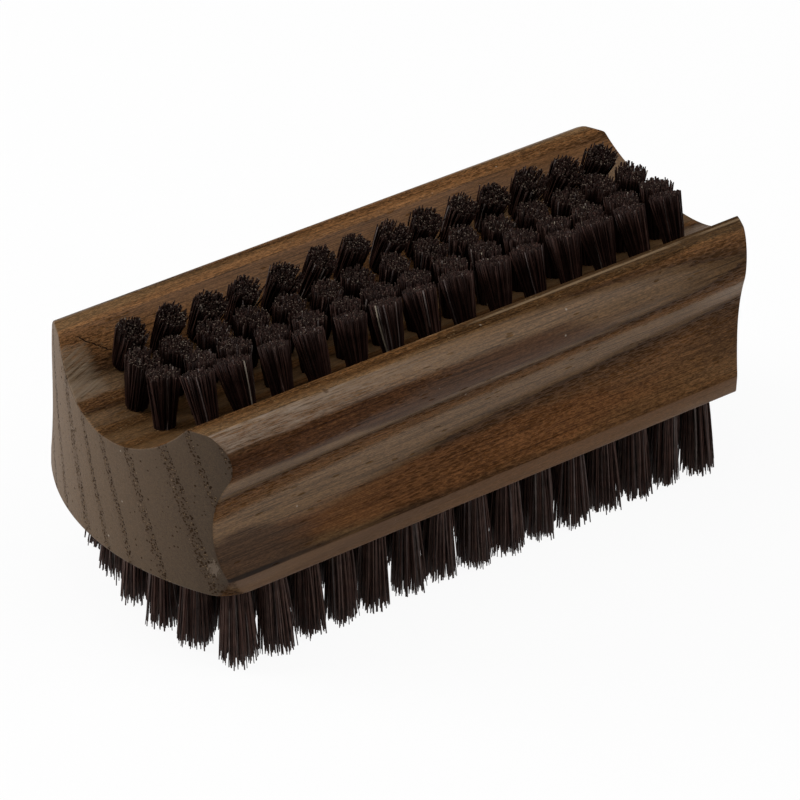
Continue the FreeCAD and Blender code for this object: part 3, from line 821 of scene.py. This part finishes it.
def block_points():
    """The block without holes: its section carried along X between two bowed ends with rounded edges."""
    loop = eased_section()
    ahead = np.roll(loop, -1, axis=0) - np.roll(loop, 1, axis=0)
    inward = np.column_stack([-ahead[:, 1], ahead[:, 0]]) / np.linalg.norm(ahead, axis=1)[:, None]

    # A station is a share of the way to the end, an inset of the section and a step back from the end.
    count = round(2 * HALF_LENGTH / STATION_STEP)
    middle = [(share, 0.0, END_ROUND) for share in np.linspace(-1, 1, count)[1:-1]]
    rounding = [(END_ROUND * (1 - math.cos(turn)), END_ROUND * (1 - math.sin(turn)))
                for turn in np.linspace(0, math.pi / 2, 5)]
    rounding.insert(0, (0.0, END_ROUND + END_STRIPS[0][0]))
    stations = [(-1, *step) for step in reversed(rounding)] + middle + [(1, *step) for step in rounding]
    rings = []
    for share, inset, back in stations:
        section = loop + inward * inset
        rings.append(np.column_stack([share * (end_place(section[:, 0]) - back), section]))
    points = np.vstack(rings)
    around = np.arange(len(loop))
    after = np.roll(around, -1)
    faces = []
    for first in range(0, len(points) - len(loop), len(loop)):
        second = first + len(loop)
        faces += np.column_stack([first + around, first + after, second + after, second + around]).tolist()

    for side, first in ((-1, 0), (1, len(points) - len(loop))):
        flat, triangles = end_faces(rings[0][:, 1:], inward)
        extra = flat[len(loop):]
        start = len(points)
        points = np.vstack([points, np.column_stack([side * end_place(extra[:, 0]), extra])])
        for triangle in triangles:
            corners = [first + i if i < len(loop) else start + i - len(loop) for i in triangle]
            faces.append(corners[::-1] if side < 0 else corners)

    # The front foot of the near end is sanded round, and no long face is quite true.
    near_foot = np.array([-end_place(HALF_WIDTH), -HALF_WIDTH, BOTTOM])
    points = sand(points, near_foot, SANDED_WAY, SANDED_DEPTH, SANDED_SOFTNESS)
    for point in points:
        shake = sum(noise.noise((point * waves).tolist()) for waves in (LONG_WAVES, SHORT_WAVES))
        point[1] -= math.copysign(UNTRUE * (1 + shake), point[1])
    return points, faces


def hole_cutters(tufts, sides=24):
    """A closed round bar through the mouth of every hole."""
    points, faces = [], []
    around = np.arange(sides)
    turn = around * 2 * math.pi / sides
    for mouth, axis in tufts:
        across = np.array([1.0, 0.0, 0.0])
        aside = np.cross(axis, across)
        circle = HOLE_RADIUS * (np.outer(np.cos(turn), across) + np.outer(np.sin(turn), aside))
        start = len(points)
        points += list(mouth + circle - HOLE_DEPTH * axis) + list(mouth + circle + HOLE_RADIUS * axis)
        for i in around:
            j = (i + 1) % sides
            faces.append([start + i, start + j, start + sides + j, start + sides + i])
        faces.append((start + around[::-1]).tolist())
        faces.append((start + sides + around).tolist())
    return points, faces


def new_object(name, points, faces):
    """An object from points in millimetres."""
    mesh = bpy.data.meshes.new(name)
    mesh.from_pydata((np.asarray(points) * MM).tolist(), [], faces)
    made = bpy.data.objects.new(name, mesh)
    bpy.context.scene.collection.objects.link(made)
    return made


def stand_for(made, node):
    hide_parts(node)
    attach(made, "root")


def make_block(tufts):
    """The moulded block with its holes cut."""
    block = new_object("block", *block_points())
    cutters = new_object("cutters", *hole_cutters(tufts))
    drill = block.modifiers.new("holes", "BOOLEAN")
    drill.solver = "MANIFOLD"
    drill.object = cutters
    drilled = bpy.data.meshes.new_from_object(block.evaluated_get(bpy.context.evaluated_depsgraph_get()))
    block.modifiers.remove(drill)
    block.data = drilled
    bpy.data.objects.remove(cutters)
    drilled.shade_smooth()
    drilled.set_sharp_from_angle(angle=math.radians(50))
    drilled.materials.clear()
    drilled.materials.append(wood_material())
    stand_for(block, "wood_block")


# The tufts

def tuft_places(row):
    """Where a row's tufts leave the wood, the way they point and their free length, from the CAD solids."""
    anchors = row.replace("tufts", "anchors")
    anchor_triangles, anchor_corners = 12, 8
    tip_depth = 0.6
    count = len(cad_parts[anchors].data.polygons) // anchor_triangles
    low, high = (np.array(corner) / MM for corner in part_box(anchors))
    first_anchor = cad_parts[anchors].data.vertices[:anchor_corners]
    half_anchor = np.ptp([vertex.co.x for vertex in first_anchor]) / MM / 2
    seat = (low + high) / 2
    points = np.array([vertex.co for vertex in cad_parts[row].data.vertices]) / MM
    way = points.mean(axis=0) - seat
    way[0] = 0
    way /= np.linalg.norm(way)
    reach = (points - seat) @ way
    tip = points[reach > reach.max() - tip_depth].mean(axis=0)
    axis = tip - seat
    axis[0] = 0
    length = np.linalg.norm(axis)
    axis /= length
    if row.startswith("lower"):
        to_mouth = (seat[2] - BOTTOM) / -axis[2]
    else:
        start = seat[1:] - (0.0, TOP - TROUGH_DEPTH + TROUGH_RADIUS)
        slope = start @ axis[1:]
        to_mouth = -slope - math.sqrt(slope ** 2 - start @ start + TROUGH_RADIUS ** 2)
    run = np.linspace(low[0] + half_anchor, high[0] - half_anchor, count)
    mouths = np.array([(x, seat[1], seat[2]) for x in run]) + to_mouth * axis
    if row.startswith("lower"):
        mouths[:, 0] += np.linspace(NEAR_DRIFT + NEAR_DRIFT_SLOPE * seat[1], 0.0, count)
        mouths[:, 1] += ROW_DRIFT
    return mouths, axis, length - to_mouth


def store(mesh, name, values):
    """A number for every point of a mesh, for its material."""
    attribute = mesh.attributes.new(name, "FLOAT", "POINT")
    attribute.data.foreach_set("value", np.asarray(values, np.float32).ravel())


def make_tufts(row, materials, seed, strands, thickness, root_radius, tip_radius, ragged, splay,
               taper, tones):
    """A row of tufts, strand by strand: each rises from its hole, spreads and ends clipped or ragged."""
    rng = np.random.default_rng(seed)
    mouths, axis, free = tuft_places(row)
    tufts = len(mouths)
    across = np.array([1.0, 0.0, 0.0])
    aside = np.cross(axis, across)
    shape = (tufts, strands)

    # Places in the tuft, from a sunflower spiral with a little shake.
    order = np.arange(strands) + 0.5
    radius = np.sqrt(order / strands) + rng.normal(0, PLACE_SHAKE, shape)
    angle = order * math.pi * (3 - math.sqrt(5)) + rng.normal(0, TURN_SHAKE, shape)
    root = np.stack([radius * np.cos(angle), radius * np.sin(angle)], axis=-1)
    flare = tip_radius / root_radius + rng.normal(0, FLARE_SHAKE, (tufts, 1, 1))
    tip = root * flare + rng.normal(0, splay, (*shape, 2))

    # Strands gather into a few locks, which lean and end together.
    sector = (angle / (2 * math.pi) % 1) * LOCKS + rng.normal(0, LOCK_BLUR, shape)
    lock = np.floor(sector).astype(int) % LOCKS
    lock_lean = rng.normal(0, splay * LOCK_LEAN_SHARE, (tufts, LOCKS, 2))
    lock_cut = rng.normal(0, ragged * LOCK_CUT_SHARE, (tufts, LOCKS))
    tuft_lean = rng.normal(0, splay * TUFT_LEAN_SHARE, (tufts, 1, 2))
    rows = np.arange(tufts)[:, None]
    tip = tip + lock_lean[rows, lock] + tuft_lean
    cut = lock_cut[rows, lock] + rng.normal(0, ragged, shape)
    if row.startswith("upper"):
        length = free - CLIP_ABOVE + np.clip(cut, CLIP_BELOW, CLIP_ABOVE)
    else:
        length = free - np.abs(cut)
    strays = rng.random(shape) < STRAY_SHARE
    tip[strays] += rng.normal(0, splay * STRAY_LEAN_SHARE, (strays.sum(), 2))
    bend = rng.normal(0, splay * BEND_SHARE, (*shape, 2))

    # A strand is a bar with four sides, in rings of four points from its root to its tip.
    turn = rng.random(shape) * math.pi
    size = thickness / 2 * rng.normal(1, SIZE_SHAKE, shape)
    corners = turn[..., None] + np.arange(4) * math.pi / 2
    ring = np.stack([np.cos(corners), np.sin(corners)], axis=-1)
    levels = []
    for step, thin in zip(STEP_SHARES, taper):
        share = max(step, 0.0)
        place = root_radius * (root + (tip - root) * share ** SPREAD_POWER) + bend * 4 * share * (1 - share)
        points = place[:, :, None, :] + ring * (size * thin)[..., None, None]
        height = step * length
        levels.append(mouths[:, None, None, :] + points[..., :1] * across + points[..., 1:] * aside
                      + height[..., None, None] * axis)
    points = np.stack(levels, axis=2).reshape(-1, 3)
    points = np.clip(points, *(np.array(corner) / MM for corner in cad_box))

    # Faces of one strand: its sides, then its cut end; the others repeat them.
    strand = [[4 * level + i, 4 * level + (i + 1) % 4, 4 * level + 4 + (i + 1) % 4, 4 * level + 4 + i]
              for level in range(len(STEP_SHARES) - 1) for i in range(4)]
    per_strand = 4 * len(STEP_SHARES)
    strand.append([per_strand - 4 + i for i in range(4)])
    starts = np.arange(tufts * strands) * per_strand
    faces = (starts[:, None, None] + np.array(strand)).reshape(-1, 4)
    made = new_object(row.replace("tufts", "bristles"), points, faces.tolist())
    for material in materials:
        made.data.materials.append(material)
    cut_end = np.arange(len(faces)) % len(strand) == len(strand) - 1
    made.data.polygons.foreach_set("material_index", cut_end.astype(np.int32))
    made.data.polygons.foreach_set("use_smooth", ~cut_end)
    pale = (rng.random(shape) < PALE_SHARE) | (strays & (rng.random(shape) < PALE_STRAY_SHARE))
    common = rng.beta(*tones, shape)
    tone = np.where(pale, rng.uniform(*PALE_TONES, shape), common)
    store(made.data, "tone", np.repeat(tone.ravel(), per_strand))
    store(made.data, "core", np.repeat(rng.random(shape).ravel(), per_strand))
    stand_for(made, row)


# The object

block_holes = []
for row_name in UPPER_ROWS + LOWER_ROWS:
    row_mouths, row_axis, _ = tuft_places(row_name)
    block_holes += [(row_mouth, row_axis) for row_mouth in row_mouths]
make_block(block_holes)

bristle_materials = [bristle_material(), cut_end_material()]
for number, row_name in enumerate(UPPER_ROWS):
    make_tufts(row_name, bristle_materials, seed=20 + number, **UPPER_TUFTS)
for number, row_name in enumerate(LOWER_ROWS):
    make_tufts(row_name, bristle_materials, seed=40 + number, **LOWER_TUFTS)

wire = anchor_material()
for name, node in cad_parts.items():
    if "anchors" in name:
        node.data.materials.clear()
        node.data.materials.append(wire)


# Studio

# The floor's half side, how far the camera sees it lifted to white, and the light of the room.
FLOOR_HALF = 2.0
FLOOR_LIFT = 0.93
ROOM_LIGHT = 0.08

# Lamps: name, place, aim and size in metres, and power in watts.
LAMPS = (
    ("overhead", (-0.15, 0.1, 0.9), (0, 0, 0.02), (0.9, 0.9), 4.5),
    ("front_right", (0.55, -0.55, 0.62), (0, 0, 0.03), (0.8, 0.7), 4.2),
    ("left", (-0.65, 0.6, 0.42), (0, 0, 0.03), (0.5, 0.5), 7.0),
)


def floor_material():
    """Plain white card; the camera sees it lifted to white, with the shadow kept."""
    g = Graph("white_card")
    paper = g.noise(g.position(), scale=0.4, detail=3.0)
    colour = g.mix(paper, (0.86, 0.86, 0.86), (0.90, 0.90, 0.90))
    card = g.node("BsdfDiffuse", {"Color": colour})
    glow = g.node("Emission", {"Color": (1.0, 1.0, 1.0, 1.0), "Strength": 1.0})
    rays = g.node("LightPath").outputs
    seen = g.math("ADD", rays["Is Camera Ray"], rays["Is Glossy Ray"], clamp=True)
    seen = g.math("ADD", seen, rays["Is Transmission Ray"], clamp=True)
    both = g.node("MixShader", {0: g.times(seen, FLOOR_LIFT)})
    g.tree.links.new(card.outputs[0], both.inputs[1])
    g.tree.links.new(glow.outputs[0], both.inputs[2])
    g.tree.links.new(both.outputs[0], g.output.inputs["Surface"])
    return g.material


def studio():
    """A white floor, a dim room and soft lamps."""
    half = FLOOR_HALF
    corners = [(-half, -half, 0), (half, -half, 0), (half, half, 0), (-half, half, 0)]
    mesh = bpy.data.meshes.new("floor")
    mesh.from_pydata(corners, [], [(0, 1, 2, 3)])
    mesh.materials.append(floor_material())
    floor = bpy.data.objects.new("floor", mesh)
    bpy.context.scene.collection.objects.link(floor)

    world = bpy.context.scene.world or bpy.data.worlds.new("room")
    bpy.context.scene.world = world
    world.use_nodes = True
    world.node_tree.nodes["Background"].inputs["Color"].default_value = (1.0, 1.0, 1.0, 1.0)
    world.node_tree.nodes["Background"].inputs["Strength"].default_value = ROOM_LIGHT

    for name, place, aim, size, power in LAMPS:
        light = bpy.data.lights.new(name, "AREA")
        light.shape = "RECTANGLE"
        light.size, light.size_y = size
        light.energy = power
        lamp = bpy.data.objects.new(name, light)
        lamp.location = place
        lamp.rotation_euler = (Vector(aim) - Vector(place)).to_track_quat("-Z", "Y").to_euler()
        bpy.context.scene.collection.objects.link(lamp)


def camera():
    """The camera at the photograph's place, found by fitting the block's corners and edges."""
    azimuth, elevation, roll = math.radians(-39.846), math.radians(32.136), math.radians(2.56)
    distance, aim_height = 708.1 * MM, 21.8 * MM
    focal_pixels, picture_pixels = 5493.9, 800
    off_centre = (1.33, -33.87)
    back = Vector((math.sin(azimuth) * math.cos(elevation), -math.cos(azimuth) * math.cos(elevation),
                   math.sin(elevation)))
    right = Vector((math.cos(azimuth), math.sin(azimuth), 0))
    up = back.cross(right)
    right, up = (math.cos(roll) * right + math.sin(roll) * up, math.cos(roll) * up - math.sin(roll) * right)
    place = back * distance + Vector((0, 0, aim_height))

    # The picture's middle is a little off the fitted axis, so the camera turns to it.
    aside, above = (pixels / focal_pixels for pixels in off_centre)
    back = (back + right * aside - up * above).normalized()
    right = (right - back * right.dot(back)).normalized()
    up = back.cross(right)
    lens = bpy.data.cameras.new("camera")
    lens.sensor_width = 36.0
    lens.lens = lens.sensor_width * focal_pixels / picture_pixels
    lens.clip_start = 0.01
    made = bpy.data.objects.new("camera", lens)
    made.matrix_world = Matrix.Translation(place) @ Matrix((right, up, back)).transposed().to_4x4()
    bpy.context.scene.collection.objects.link(made)
    bpy.context.scene.camera = made


studio()
camera()
bpy.context.scene.view_settings.view_transform = "Standard"
